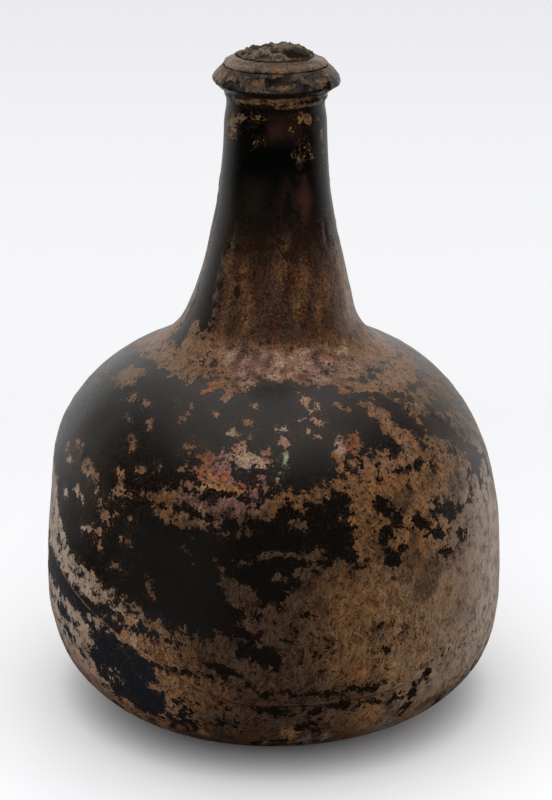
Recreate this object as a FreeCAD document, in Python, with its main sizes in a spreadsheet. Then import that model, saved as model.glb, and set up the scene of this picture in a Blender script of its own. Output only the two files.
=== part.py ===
"""Onion bottle: a free-blown bottle of dark green glass, about 140 mm wide and 202 mm tall.

The pieces are the blown glass with its pushed-up base, the thread of glass wound round the
neck under the lip as a string rim, and the dried stump of cork left in the mouth.
The origin is the centre of the ring that the bottle stands on, +Z runs up through the mouth,
and -Y is the front. All sizes are millimetres.
"""
import FreeCAD, Part
import math
import os

import Sketcher
from FreeCAD import Vector

doc = FreeCAD.newDocument("onion_bottle")

# Driving dimensions

SIZES = {
    # outside of the blown glass
    "belly_radius": 70,  # widest radius
    "lower_radius": 36.9,  # rounding under the widest place
    "heel_radius": 29.9,  # rounding from the standing ring
    "heel_height": 6,  # where the heel turns into the lower side
    "side_radius": 210.6,  # long upright curve of the side
    "shoulder_height": 76,  # where the side turns into the shoulder
    "shoulder_radius": 46.4,
    "root_radius": 22.5,  # hollow curve between shoulder and neck
    "flare_radius": 188,  # long hollow curve of the neck
    "lip_height": 198.8,
    "lip_round": 1.6,
    "lip_proud": 0.2,  # beyond the neck
    "neck_radius": 15,  # neck below the string rim
    "neck_drop": 15.2,  # from the lip down to where the neck stands upright
    "nip_round": 1.6,  # small ogee that nips the neck in under the rim
    "nip_depth": 0.9,
    # inside of the blown glass
    "wall": 3.8,
    "floor_thickness": 7,
    "bore_radius": 10.2,
    "mouth_round": 1.2,
    # pushed-up base
    "rest_width": 3,  # worn flat ring that the bottle stands on
    "kick_height": 28,
    "kick_round": 3,
    "kick_wall": 5,
    "pontil_radius": 10,  # ring of glass left by the iron
    "pontil_height": 1.2,
    "pontil_width": 2.4,
    # string rim
    "rim_proud": 3.4,  # its sharp edge, beyond the neck
    "rim_drop": 6.4,  # from the lip down to that edge
    "rim_depth": 4.4,  # from the edge down to the rim's foot
    "rim_nose": 0.9,  # rounding of the edge
    "rim_top_width": 1.3,
    "rim_top_rise": 0.5,  # above the lip's foot
    "rim_groove": 0.3,  # open below the lip's foot
    "thread_radius": 0.85,
    "thread_gap": 0.4,  # from the nip up to the thread
    "thread_pitch": 1.9,
    "thread_turns": 1.4,
    "thread_start": 205,  # degrees from +X, towards the left of the front
    "lap_length": 6.5,  # half lengths of the lump where the thick turn laps over itself
    "lap_depth": 2.6,
    "lap_rise": 2.9,
    "lap_drop": 0.5,  # below the rim's edge
    "lap_proud": 0.25,  # beyond the rim's edge
    "lap_turn": -14,  # degrees from +X
    # cork stump
    "cork_length": 24,  # below the lip
    "cork_clearance": 0.3,
    "cork_taper": 0.8,  # narrower at its foot
    "cork_chamfer": 0.9,
    "cork_crown": 3,  # swollen end above the lip
    "hollow_radius": 2.9,  # crumbled hollow near the edge, across
    "hollow_length": 3.6,  # and along it
    "hollow_depth": 5,
    "hollow_reach": 6.6,  # from the axis
    "hollow_turn": -12,  # degrees from +X
}

sheet = doc.addObject("Spreadsheet::Sheet", "sizes")
for row, (name, value) in enumerate(SIZES.items(), start=1):
    sheet.set(f"A{row}", name)
    sheet.set(f"B{row}", str(value))
    sheet.setAlias(f"B{row}", name)
doc.recompute()


def worth(expression):
    """The number that an expression of named sizes gives."""
    number = sheet.evalExpression(expression.replace("sizes.", ""))
    return float(getattr(number, "Value", number))


# Sketch helpers

START, END, CENTRE = range(1, 4)
X_AXIS, Z_AXIS = range(-1, -3, -1)


class Outline:
    """A closed outline in a body's XZ plane, drawn edge after edge and held by constraints."""

    def __init__(self, body, name):
        plane = next(f for f in body.Origin.OriginFeatures if f.Role == "XZ_Plane")
        self.sketch = body.newObject("Sketcher::SketchObject", name)
        self.sketch.AttachmentSupport = (plane, [""])
        self.sketch.MapMode = "FlatFace"
        self.edges = []

    def line(self, start, end):
        """A straight edge, given by its two ends."""
        edge = Part.LineSegment(Vector(*start, 0), Vector(*end, 0))
        self.edges.append((self.sketch.addGeometry(edge, False), START, END))
        return len(self.edges) - 1

    def arc(self, centre, radius, first, last):
        """A round edge from the angle first to the angle last, in degrees, either way round."""
        low, high = sorted((math.radians(first), math.radians(last)))
        circle = Part.Circle(Vector(*centre, 0), Vector(0, 0, 1), radius)
        index = self.sketch.addGeometry(Part.ArcOfCircle(circle, low, high), False)
        ends = (START, END) if first < last else (END, START)
        self.edges.append((index, *ends))
        return len(self.edges) - 1

    def tie(self, kind, *places):
        """A constraint with no number."""
        self.sketch.addConstraint(Sketcher.Constraint(kind, *places))

    def set(self, kind, *places, to):
        """A constraint whose number follows the sizes."""
        index = self.sketch.addConstraint(Sketcher.Constraint(kind, *places, worth(to)))
        self.sketch.setExpression(f"Constraints[{index}]", to)

    def join(self, edge, smooth=False):
        """Ties the end of an edge to the start of the next one, or of the first."""
        index, _, end = self.edges[edge]
        follower, start, _ = self.edges[(edge + 1) % len(self.edges)]
        self.tie("Tangent" if smooth else "Coincident", index, end, follower, start)

    def ring(self, across, height, radius):
        """Draws and binds a whole circle, which is an outline by itself."""
        centre = Vector(worth(across), worth(height), 0)
        index = self.sketch.addGeometry(Part.Circle(centre, Vector(0, 0, 1), worth(radius)), False)
        self.edges.append((index, START, END))
        self.centre(index, across, height)
        self.radius(index, radius)

    def radius(self, edge, to):
        """Binds the radius of a round edge."""
        self.set("Radius", self.edges[edge][0], to=to)

    def across(self, edge, to, at_start=False):
        """Binds how far an edge's end, or its start, lies from the axis."""
        index, start, end = self.edges[edge]
        self.set("DistanceX", X_AXIS, START, index, start if at_start else end, to=to)

    def height(self, edge, to, at_start=False):
        """Binds how high an edge's end, or its start, lies."""
        index, start, end = self.edges[edge]
        self.set("DistanceY", X_AXIS, START, index, start if at_start else end, to=to)

    def centre(self, edge, across, height):
        """Binds where the centre of a round edge lies."""
        index = self.edges[edge][0]
        self.set("DistanceX", X_AXIS, START, index, CENTRE, to=across)
        self.set("DistanceY", X_AXIS, START, index, CENTRE, to=height)

    def upright(self, edge):
        """Makes the end of a round edge run straight up, level with its centre."""
        index, _, end = self.edges[edge]
        self.tie("Horizontal", index, CENTRE, index, end)

    def direction(self, edge, kind):
        """Makes a straight edge Horizontal or Vertical."""
        self.tie(kind, self.edges[edge][0])

    def on_axis(self, edge, at_start=False):
        """Puts an edge's end, or its start, on the axis."""
        index, start, end = self.edges[edge]
        self.tie("PointOnObject", index, start if at_start else end, Z_AXIS)


def turned(body, outline, name, cut=False):
    """Turns an outline about the bottle's axis, to add it to its body or cut it away."""
    feature = body.newObject("PartDesign::Groove" if cut else "PartDesign::Revolution", name)
    feature.Profile = outline.sketch
    feature.ReferenceAxis = (outline.sketch, ["V_Axis"])
    feature.Angle = 360
    doc.recompute()
    return feature


def meeting(first, first_reach, second, second_reach):
    """The upper point that lies at one reach from the first centre and another from the second."""
    gap = second - first
    along = (first_reach**2 - second_reach**2 + gap.Length**2) / (2 * gap.Length)
    off = math.sqrt(first_reach**2 - along**2)
    unit = gap.normalize()
    side = Vector(-unit.y, unit.x, 0) * off
    return max(first + unit * along + side, first + unit * along - side, key=lambda p: p.y)


def bearing(centre, point):
    """The angle in degrees at which a point is seen from a centre."""
    return math.degrees(math.atan2(point.y - centre.y, point.x - centre.x))


def leaning(point, centre, radius):
    """The angle between the way to a circle's centre and the square of a line that touches it."""
    return math.degrees(math.acos(radius / (centre - point).Length))


def off(centre, radius, angle):
    """The point of a circle at an angle in degrees."""
    return centre + radius * Vector(math.cos(math.radians(angle)), math.sin(math.radians(angle)), 0)


# How high the widest place lies, and how far out the heel leaves the ground, both follow from
# the roundings of heel and lower side
RISE = "(sizes.heel_radius - sizes.heel_height) / sizes.heel_radius"
BELLY_HEIGHT = f"sizes.heel_radius + (sizes.lower_radius - sizes.heel_radius) * {RISE}"
FOOT = (
    "sizes.belly_radius - sizes.lower_radius"
    f" + (sizes.lower_radius - sizes.heel_radius) * sqrt(1 - ({RISE}) ^ 2)"
)


NECK_HEIGHT = "(sizes.lip_height - sizes.neck_drop)"


def draw_wall(outline, start, belly, lower, heel, side, turn, shoulder, root, flare, neck):
    """Draws one side of the bubble from a level foot to the upright neck, smooth all the way.

    It starts at a point on the foot. The others are expressions of named sizes: all are radii,
    but for turn, the height where the side becomes the shoulder.
    """
    z_belly, z_neck = worth(BELLY_HEIGHT), worth(NECK_HEIGHT)
    z_foot = worth("sizes.heel_radius") - worth(heel)
    c_lower = Vector(worth(belly) - worth(lower), z_belly, 0)
    c_side = Vector(worth(belly) - worth(side), z_belly, 0)
    drop = z_belly - z_foot - worth(heel)
    out = math.sqrt((worth(lower) - worth(heel)) ** 2 - drop**2)
    c_heel = c_lower + Vector(out, -drop, 0)
    lean = math.asin((worth(turn) - z_belly) / worth(side))
    reach = worth(side) - worth(shoulder)
    c_shoulder = c_side + Vector(reach * math.cos(lean), reach * math.sin(lean), 0)
    c_flare = Vector(worth(neck) + worth(flare), z_neck, 0)
    c_root = meeting(c_shoulder, worth(shoulder) + worth(root), c_flare, worth(flare) - worth(root))
    heel_end = bearing(c_lower, c_heel)
    over = bearing(c_shoulder, c_root)
    under = bearing(c_flare, c_root) % 360
    level = outline.line(start, (c_heel.x, start[1]))
    outline.direction(level, "Horizontal")
    first = outline.arc((c_heel.x, c_heel.y), worth(heel), -90, heel_end)
    outline.arc((c_lower.x, c_lower.y), worth(lower), heel_end, 0)
    outline.arc((c_side.x, c_side.y), worth(side), 0, math.degrees(lean))
    outline.arc((c_shoulder.x, c_shoulder.y), worth(shoulder), math.degrees(lean), over)
    outline.arc((c_root.x, c_root.y), worth(root), over + 180, under)
    last = outline.arc((c_flare.x, c_flare.y), worth(flare), under, 180)
    for edge in range(level, last):
        outline.join(edge, smooth=True)
    for step, word in enumerate((heel, lower, side, shoulder, root, flare)):
        outline.radius(first + step, word)
    outline.upright(first + 1)
    outline.across(first + 1, belly)
    outline.height(first + 1, BELLY_HEIGHT)
    outline.height(first + 2, turn)
    outline.upright(last)
    outline.across(last, neck)
    outline.height(last, NECK_HEIGHT)


def new_body(label):
    """A body that holds one piece, named as the piece."""
    body = doc.addObject("PartDesign::Body", label)
    body.Label = label
    return body


# Blown glass: belly, neck and lip are one bubble, with the base pushed up into it

glass = new_body("glass_body")

# The seat is the straight stretch of neck inside the string rim, between the nip and the lip
SEAT_RADIUS = "(sizes.neck_radius - sizes.nip_depth)"
SEAT_FOOT = (
    f"({NECK_HEIGHT} + sqrt(4 * sizes.nip_round * sizes.nip_depth - sizes.nip_depth ^ 2))"
)
LIP_INSET = "(sizes.lip_round - sizes.lip_proud - sizes.nip_depth)"
SEAT_TOP = (
    "(sizes.lip_height - sizes.lip_round"
    f" - sqrt(sizes.lip_round ^ 2 - {LIP_INSET} ^ 2))"
)
LIP_ACROSS = "(sizes.neck_radius + sizes.lip_proud - sizes.lip_round)"

neck, seat = worth("sizes.neck_radius"), worth(SEAT_RADIUS)
neck_height, seat_foot, seat_top = worth(NECK_HEIGHT), worth(SEAT_FOOT), worth(SEAT_TOP)
nip_round = worth("sizes.nip_round")
nip_turn = math.degrees(math.acos(1 - (neck - seat) / (2 * nip_round)))
lip_height, lip_round = worth("sizes.lip_height"), worth("sizes.lip_round")
lip_centre = (worth(LIP_ACROSS), lip_height - lip_round)
lip_foot = -math.degrees(math.acos(worth(LIP_INSET) / lip_round))

blank = Outline(glass, "outside_outline")
draw_wall(
    blank,
    start=(0, 0),
    belly="sizes.belly_radius",
    lower="sizes.lower_radius",
    heel="sizes.heel_radius",
    side="sizes.side_radius",
    turn="sizes.shoulder_height",
    shoulder="sizes.shoulder_radius",
    root="sizes.root_radius",
    flare="sizes.flare_radius",
    neck="sizes.neck_radius",
)
nip_out = blank.arc((neck - nip_round, neck_height), nip_round, 0, nip_turn)
nip_in = blank.arc((seat + nip_round, seat_foot), nip_round, 180 + nip_turn, 180)
seat_edge = blank.line((seat, seat_foot), (seat, seat_top))
lip = blank.arc(lip_centre, lip_round, lip_foot, 90)
lip_top = blank.line((lip_centre[0], lip_height), (0, lip_height))
axis = blank.line((0, lip_height), (0, 0))
blank.tie("Coincident", X_AXIS, START, 0, START)
blank.join(nip_out - 1, smooth=True)
blank.join(nip_out, smooth=True)
blank.radius(nip_out, "sizes.nip_round")
blank.join(nip_in, smooth=True)
blank.radius(nip_in, "sizes.nip_round")
blank.direction(seat_edge, "Vertical")
blank.across(seat_edge, SEAT_RADIUS)
blank.join(seat_edge)
blank.radius(lip, "sizes.lip_round")
blank.centre(lip, LIP_ACROSS, "sizes.lip_height - sizes.lip_round")
blank.join(lip, smooth=True)
blank.direction(lip_top, "Horizontal")
blank.on_axis(lip_top)
blank.join(lip_top)
blank.join(axis)
turned(glass, blank, "blown_blank")

# The push-up is part of a ball, whose radius follows from its mouth, its height and the
# rounding of its edge
KICK_MOUTH = f"({FOOT} - sizes.rest_width)"
KICK_RADIUS = (
    f"(({KICK_MOUTH} ^ 2 + sizes.kick_height ^ 2) / (2 * sizes.kick_height) - sizes.kick_round)"
)
kick_mouth, kick_radius = worth(KICK_MOUTH), worth(KICK_RADIUS)
kick_height, kick_round = worth("sizes.kick_height"), worth("sizes.kick_round")
kick_centre = kick_height - kick_radius

cavity = Outline(glass, "inside_outline")
floor = worth("sizes.floor_thickness")
dome_radius = kick_radius + worth("sizes.kick_wall")
dome_foot = math.degrees(math.asin((floor - kick_centre) / dome_radius))
bore, mouth_round = worth("sizes.bore_radius"), worth("sizes.mouth_round")
dome = cavity.arc((0, kick_centre), dome_radius, 90, dome_foot)
draw_wall(
    cavity,
    start=(dome_radius * math.cos(math.radians(dome_foot)), floor),
    belly="sizes.belly_radius - sizes.wall",
    lower="sizes.lower_radius - sizes.wall",
    heel="sizes.heel_radius - sizes.floor_thickness",
    side="sizes.side_radius - sizes.wall",
    turn=f"sizes.shoulder_height - (sizes.shoulder_height - ({BELLY_HEIGHT}))"
    " * sizes.wall / sizes.side_radius",
    shoulder="sizes.shoulder_radius - sizes.wall",
    root="sizes.root_radius + sizes.wall",
    flare="sizes.flare_radius + sizes.neck_radius - sizes.bore_radius",
    neck="sizes.bore_radius",
)
bore_edge = cavity.line((bore, neck_height), (bore, lip_height - mouth_round))
mouth = cavity.arc((bore + mouth_round, lip_height - mouth_round), mouth_round, 180, 90)
mouth_top = cavity.line((bore + mouth_round, lip_height), (0, lip_height))
core = cavity.line((0, lip_height), (0, kick_height + worth("sizes.kick_wall")))
cavity.tie("PointOnObject", cavity.edges[dome][0], CENTRE, Z_AXIS)
cavity.on_axis(dome, at_start=True)
cavity.height(dome, "sizes.kick_height + sizes.kick_wall", at_start=True)
cavity.radius(dome, f"{KICK_RADIUS} + sizes.kick_wall")
cavity.join(dome)
cavity.height(dome, "sizes.floor_thickness")
cavity.join(bore_edge - 1, smooth=True)
cavity.join(bore_edge, smooth=True)
cavity.radius(mouth, "sizes.mouth_round")
cavity.join(mouth, smooth=True)
cavity.direction(mouth_top, "Horizontal")
cavity.height(mouth_top, "sizes.lip_height")
cavity.on_axis(mouth_top)
cavity.join(mouth_top)
cavity.join(core)
turned(glass, cavity, "hollow_inside", cut=True)

kick = Outline(glass, "push_up_outline")
kick_turn = math.degrees(math.atan2(kick_round - kick_centre, kick_mouth))
kick_base = kick.line((0, 0), (kick_mouth, 0))
kick_edge = kick.arc((kick_mouth, kick_round), kick_round, -90, kick_turn - 180)
kick_dome = kick.arc((0, kick_centre), kick_radius, kick_turn, 90)
kick_axis = kick.line((0, kick_height), (0, 0))
kick.tie("Coincident", X_AXIS, START, 0, START)
kick.direction(kick_base, "Horizontal")
kick.across(kick_base, KICK_MOUTH)
kick.join(kick_base, smooth=True)
kick.radius(kick_edge, "sizes.kick_round")
kick.join(kick_edge, smooth=True)
kick.tie("PointOnObject", kick.edges[kick_dome][0], CENTRE, Z_AXIS)
kick.on_axis(kick_dome)
kick.height(kick_dome, "sizes.kick_height")
kick.join(kick_dome)
kick.join(kick_axis)
turned(glass, kick, "push_up", cut=True)

# The iron left a low ring of broken glass with sloping sides, rooted in the push-up
scar = Outline(glass, "pontil_outline")
SCAR_ROOT = f"(sizes.kick_height - {KICK_RADIUS} + sqrt({KICK_RADIUS} ^ 2 - sizes.pontil_radius ^ 2))"
SCAR_TIP = f"{SCAR_ROOT} - sizes.pontil_height"
SCAR_TOP = f"{SCAR_ROOT} + sizes.kick_wall / 2"
scar_radius, half_width = worth("sizes.pontil_radius"), worth("sizes.pontil_width") / 2
scar_tip, scar_top = worth(SCAR_TIP), worth(SCAR_TOP)
scar_inner = scar.line((scar_radius, scar_tip), (scar_radius - half_width, scar_top))
scar_back = scar.line((scar_radius - half_width, scar_top), (scar_radius + half_width, scar_top))
scar_outer = scar.line((scar_radius + half_width, scar_top), (scar_radius, scar_tip))
scar.across(scar_inner, "sizes.pontil_radius - sizes.pontil_width / 2")
scar.height(scar_inner, SCAR_TOP)
scar.join(scar_inner)
scar.across(scar_back, "sizes.pontil_radius + sizes.pontil_width / 2")
scar.direction(scar_back, "Horizontal")
scar.join(scar_back)
scar.across(scar_outer, "sizes.pontil_radius")
scar.height(scar_outer, SCAR_TIP)
scar.join(scar_outer)
turned(glass, scar, "pontil_scar")

# String rim: a thread of hot glass wound round the neck, its thick turn tooled to an edge

rim = new_body("string_rim")

RIM_RADIUS = "(sizes.neck_radius + sizes.rim_proud)"
RIM_HEIGHT = "(sizes.lip_height - sizes.rim_drop)"
RIM_FOOT = f"({RIM_HEIGHT} - sizes.rim_depth)"
CREST_RADIUS = f"({SEAT_RADIUS} + sizes.rim_top_width)"
CREST_HEIGHT = f"({SEAT_TOP} + sizes.rim_top_rise)"
RIM_TOP = f"({SEAT_TOP} - sizes.rim_groove)"

nose = worth("sizes.rim_nose")
nose_centre = Vector(worth(RIM_RADIUS) - nose, worth(RIM_HEIGHT), 0)
crest = Vector(worth(CREST_RADIUS), worth(CREST_HEIGHT), 0)
rim_foot = Vector(seat, worth(RIM_FOOT), 0)
below = bearing(nose_centre, rim_foot) + leaning(rim_foot, nose_centre, nose)
above = bearing(nose_centre, crest) - leaning(crest, nose_centre, nose)
low_end, high_end = off(nose_centre, nose, below), off(nose_centre, nose, above)

collar = Outline(rim, "collar_outline")
underside = collar.line((seat, rim_foot.y), (low_end.x, low_end.y))
edge = collar.arc((nose_centre.x, nose_centre.y), nose, below, above)
upper = collar.line((high_end.x, high_end.y), (crest.x, crest.y))
dip = collar.line((crest.x, crest.y), (seat, worth(RIM_TOP)))
inner = collar.line((seat, worth(RIM_TOP)), (seat, rim_foot.y))
collar.across(underside, SEAT_RADIUS, at_start=True)
collar.height(underside, RIM_FOOT, at_start=True)
collar.join(underside, smooth=True)
collar.radius(edge, "sizes.rim_nose")
collar.centre(edge, f"{RIM_RADIUS} - sizes.rim_nose", RIM_HEIGHT)
collar.join(edge, smooth=True)
collar.across(upper, CREST_RADIUS)
collar.height(upper, CREST_HEIGHT)
collar.join(upper)
collar.across(dip, SEAT_RADIUS)
collar.height(dip, RIM_TOP)
collar.join(dip)
collar.join(inner)
turned(rim, collar, "collar")


def lump(body, kind, name, radii, reach, turn, height):
    """A ball-like lump or hollow, stretched along its own axes, turned about the bottle's axis."""
    feature = body.newObject(kind, name)
    plane = next(f for f in body.Origin.OriginFeatures if f.Role == "XY_Plane")
    feature.AttachmentSupport = (plane, [""])
    feature.MapMode = "FlatFace"
    feature.Angle1, feature.Angle2, feature.Angle3 = -90, 90, 360
    for number, radius in enumerate(radii, start=1):
        feature.setExpression(f"Radius{number}", radius)
    tilt = FreeCAD.Rotation(Vector(0, 0, 1), worth(turn))
    feature.AttachmentOffset = FreeCAD.Placement(Vector(), tilt)
    feature.setExpression("AttachmentOffset.Rotation.Angle", turn)
    feature.setExpression("AttachmentOffset.Base.x", f"({reach}) * cos({turn})")
    feature.setExpression("AttachmentOffset.Base.y", f"({reach}) * sin({turn})")
    feature.setExpression("AttachmentOffset.Base.z", height)
    doc.recompute()
    return feature


lump(
    rim,
    "PartDesign::AdditiveEllipsoid",
    "thread_lap",
    radii=("sizes.lap_rise", "sizes.lap_depth", "sizes.lap_length"),
    reach=f"{RIM_RADIUS} + sizes.lap_proud - sizes.lap_depth",
    turn="sizes.lap_turn",
    height=f"{RIM_HEIGHT} - sizes.lap_drop",
)

strand = Outline(rim, "thread_outline")
THREAD_HEIGHT = f"{SEAT_FOOT} + sizes.thread_gap + sizes.thread_radius"
strand.ring(SEAT_RADIUS, THREAD_HEIGHT, "sizes.thread_radius")
turn = FreeCAD.Rotation(Vector(0, 1, 0), worth("sizes.thread_start"))
strand.sketch.AttachmentOffset = FreeCAD.Placement(Vector(), turn)
strand.sketch.setExpression("AttachmentOffset.Rotation.Angle", "sizes.thread_start")
thread = rim.newObject("PartDesign::AdditiveHelix", "thread")
thread.Profile = strand.sketch
thread.ReferenceAxis = (strand.sketch, ["V_Axis"])
thread.Mode = "pitch-turns-angle"
thread.setExpression("Pitch", "sizes.thread_pitch")
thread.setExpression("Turns", "sizes.thread_turns")
doc.recompute()

# What would reach into the neck is taken away, so that the rim lies on the glass face to face
bed = Outline(rim, "seat_outline")
bed_foot = bed.line((0, neck_height), (seat, neck_height))
bed_side = bed.line((seat, neck_height), (seat, lip_height))
bed_top = bed.line((seat, lip_height), (0, lip_height))
bed_axis = bed.line((0, lip_height), (0, neck_height))
bed.on_axis(bed_foot, at_start=True)
bed.height(bed_foot, NECK_HEIGHT, at_start=True)
bed.direction(bed_foot, "Horizontal")
bed.join(bed_foot)
bed.across(bed_foot, SEAT_RADIUS)
bed.direction(bed_side, "Vertical")
bed.join(bed_side)
bed.height(bed_side, "sizes.lip_height")
bed.direction(bed_top, "Horizontal")
bed.join(bed_top)
bed.direction(bed_axis, "Vertical")
bed.join(bed_axis)
turned(rim, bed, "neck_seat", cut=True)

# Cork: the dried stump, shrunk off the glass, swollen and crumbled where it meets the air

cork = new_body("cork_stump")

STUMP_FOOT = "sizes.lip_height - sizes.cork_length"
STUMP_RADIUS = "sizes.bore_radius - sizes.cork_clearance"
FOOT_RADIUS = f"{STUMP_RADIUS} - sizes.cork_taper"
CROWN_RADIUS = f"((({STUMP_RADIUS}) ^ 2 + sizes.cork_crown ^ 2) / (2 * sizes.cork_crown))"
stump_foot, stump_radius = worth(STUMP_FOOT), worth(STUMP_RADIUS)
foot_radius, chamfer = worth(FOOT_RADIUS), worth("sizes.cork_chamfer")
crown, crown_radius = worth("sizes.cork_crown"), worth(CROWN_RADIUS)
crown_end = math.degrees(math.acos(stump_radius / crown_radius))

stump = Outline(cork, "stump_outline")
stump_base = stump.line((0, stump_foot), (foot_radius - chamfer, stump_foot))
stump_edge = stump.line((foot_radius - chamfer, stump_foot), (foot_radius, stump_foot + chamfer))
stump_side = stump.line((foot_radius, stump_foot + chamfer), (stump_radius, lip_height))
stump_top = stump.arc((0, lip_height + crown - crown_radius), crown_radius, crown_end, 90)
stump_axis = stump.line((0, lip_height + crown), (0, stump_foot))
stump.on_axis(stump_base, at_start=True)
stump.direction(stump_base, "Horizontal")
stump.height(stump_base, STUMP_FOOT)
stump.across(stump_base, f"{FOOT_RADIUS} - sizes.cork_chamfer")
stump.join(stump_base)
stump.across(stump_edge, FOOT_RADIUS)
stump.height(stump_edge, f"{STUMP_FOOT} + sizes.cork_chamfer")
stump.join(stump_edge)
stump.across(stump_side, STUMP_RADIUS)
stump.height(stump_side, "sizes.lip_height")
stump.join(stump_side)
stump.tie("PointOnObject", stump.edges[stump_top][0], CENTRE, Z_AXIS)
stump.on_axis(stump_top)
stump.height(stump_top, "sizes.lip_height + sizes.cork_crown")
stump.join(stump_top)
stump.join(stump_axis)
turned(cork, stump, "stump")

lump(
    cork,
    "PartDesign::SubtractiveEllipsoid",
    "crumbled_hollow",
    radii=("sizes.hollow_depth", "sizes.hollow_radius", "sizes.hollow_length"),
    reach="sizes.hollow_reach",
    turn="sizes.hollow_turn",
    height="sizes.lip_height",
)

# Check every object, then write the pieces

PIECES = (glass, rim, cork)
doc.recompute()
for item in doc.Objects:
    if {"Invalid", "Error"} & set(item.State):
        raise RuntimeError(f"{item.Label} failed: {item.State}")
for piece in PIECES:
    if piece.Shape.isNull() or not piece.Shape.isValid() or len(piece.Shape.Solids) != 1:
        raise RuntimeError(f"{piece.Label} is not one sound solid")

os.makedirs("parts", exist_ok=True)
for piece in PIECES:
    piece.Shape.exportStep(f"parts/{piece.Label}.step")
    print(f"{piece.Label}: {piece.Shape.Volume / 1000:.1f} cm3")
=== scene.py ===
import math
import random

import bmesh
import bpy
import numpy as np
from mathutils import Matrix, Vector, noise


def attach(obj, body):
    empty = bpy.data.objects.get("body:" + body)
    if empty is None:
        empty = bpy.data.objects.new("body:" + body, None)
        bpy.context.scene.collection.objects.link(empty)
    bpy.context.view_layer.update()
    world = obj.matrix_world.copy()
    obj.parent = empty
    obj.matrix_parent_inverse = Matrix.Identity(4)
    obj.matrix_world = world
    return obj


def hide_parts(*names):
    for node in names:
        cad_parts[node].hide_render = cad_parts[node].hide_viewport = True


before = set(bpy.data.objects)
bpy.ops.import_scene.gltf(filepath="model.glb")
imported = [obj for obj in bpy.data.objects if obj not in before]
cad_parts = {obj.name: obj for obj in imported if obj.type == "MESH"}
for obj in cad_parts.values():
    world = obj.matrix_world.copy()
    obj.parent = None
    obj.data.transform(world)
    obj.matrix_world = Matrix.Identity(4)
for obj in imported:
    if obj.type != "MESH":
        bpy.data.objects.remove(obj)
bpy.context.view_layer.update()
scene = bpy.context.scene

# Camera
# The bottle is seen from the front and a little above, from about 0.7 m away, through a
# long lens that shows its whole height.

camera = bpy.data.objects.new("camera", bpy.data.cameras.new("camera"))
scene.collection.objects.link(camera)
scene.camera = camera
camera.data.lens = 102.33
camera.data.sensor_width = 36
camera.location = (0.00068, -0.65, 0.3226)
camera.rotation_euler = [math.radians(angle) for angle in (70.59, -0.0755, 0.0266)]
camera.data.clip_start = 0.05
camera.data.clip_end = 30
scene.view_settings.view_transform = "Standard"

# Floor and light
# A pale floor carries the bottle. The camera sees it painted brighter near the bottle and
# dimmer far back, with a painted contact shadow where the bottle stands. Broad soft light comes
# from all round and above, and reflections find floor and sky dark in front, like a dark card,
# which keeps the face of the glass near black.


def add_node(tree, kind, settings=None, **inputs):
    """Adds a shader node, with its settings and the values or links of its inputs."""
    node = tree.nodes.new(kind)
    for name, value in (settings or {}).items():
        setattr(node, name, value)
    for name, value in inputs.items():
        socket = node.inputs[int(name[1:]) if name[1:].isdigit() else name.replace("_", " ")]
        if isinstance(value, bpy.types.NodeSocket):
            tree.links.new(value, socket)
        else:
            socket.default_value = value
    return node


def sums(tree, operation, a, b=0.0, c=0.0):
    """A Math node's result."""
    node = add_node(tree, "ShaderNodeMath", {"operation": operation}, _0=a, _1=b, _2=c)
    return node.outputs[0]


def span(tree, value, low, high, to_low=0.0, to_high=1.0, smooth=True):
    """Carries a value's range low to high over to another range, and holds it at both ends."""
    node = add_node(
        tree,
        "ShaderNodeMapRange",
        {"interpolation_type": "SMOOTHSTEP" if smooth else "LINEAR"},
        _0=value, _1=low, _2=high, _3=to_low, _4=to_high,
    )
    return node.outputs[0]


def blend(tree, share, first, second, kind="MIX"):
    """Mixes two colours."""
    node = add_node(
        tree, "ShaderNodeMix", {"data_type": "RGBA", "blend_type": kind},
        _0=share, _6=first, _7=second,
    )
    return node.outputs[2]


floor_mesh = bmesh.new()
bmesh.ops.create_grid(floor_mesh, x_segments=8, y_segments=8, size=6)
floor_data = bpy.data.meshes.new("floor")
floor_mesh.to_mesh(floor_data)
floor = bpy.data.objects.new("floor", floor_data)
scene.collection.objects.link(floor)

paper = bpy.data.materials.new("paper")
paper.use_nodes = True
tree = paper.node_tree
tree.nodes.clear()
ray = add_node(tree, "ShaderNodeLightPath")
place = add_node(tree, "ShaderNodeTexCoord").outputs["Object"]
depth = add_node(tree, "ShaderNodeSeparateXYZ", Vector=place).outputs["Y"]
mirrored = blend(tree, span(tree, depth, -0.1, 0.5), (0.02, 0.02, 0.02, 1), (0.7, 0.7, 0.7, 1))
# painted light: for the camera the floor is painted brighter than white in front, near the bottle,
# and dimmer far back
seen = blend(tree, span(tree, depth, -0.12, 0.26), (1.17, 1.175, 1.20, 1), (0.93, 0.935, 0.955, 1))
seen = blend(tree, span(tree, depth, 0.3, 1.4), seen, (0.83, 0.83, 0.865, 1))
# painted contact shadow: an AO node darkens the floor the camera sees where the bottle stands
painted_contact_shadow = add_node(tree, "ShaderNodeAmbientOcclusion", {"samples": 8}, Distance=0.012).outputs["AO"]
seen = blend(tree, span(tree, painted_contact_shadow, 1.0, 0.3, 0, 0.35, smooth=False), seen, (0.1, 0.1, 0.1, 1))
sheet = blend(tree, ray.outputs["Is Camera Ray"], (0.91, 0.915, 0.94, 1), seen)
sheet = blend(tree, ray.outputs["Is Glossy Ray"], sheet, mirrored)
add_node(tree, "ShaderNodeOutputMaterial", Surface=add_node(
    tree, "ShaderNodeBsdfDiffuse", Color=sheet
).outputs[0])
floor_data.materials.append(paper)

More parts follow.
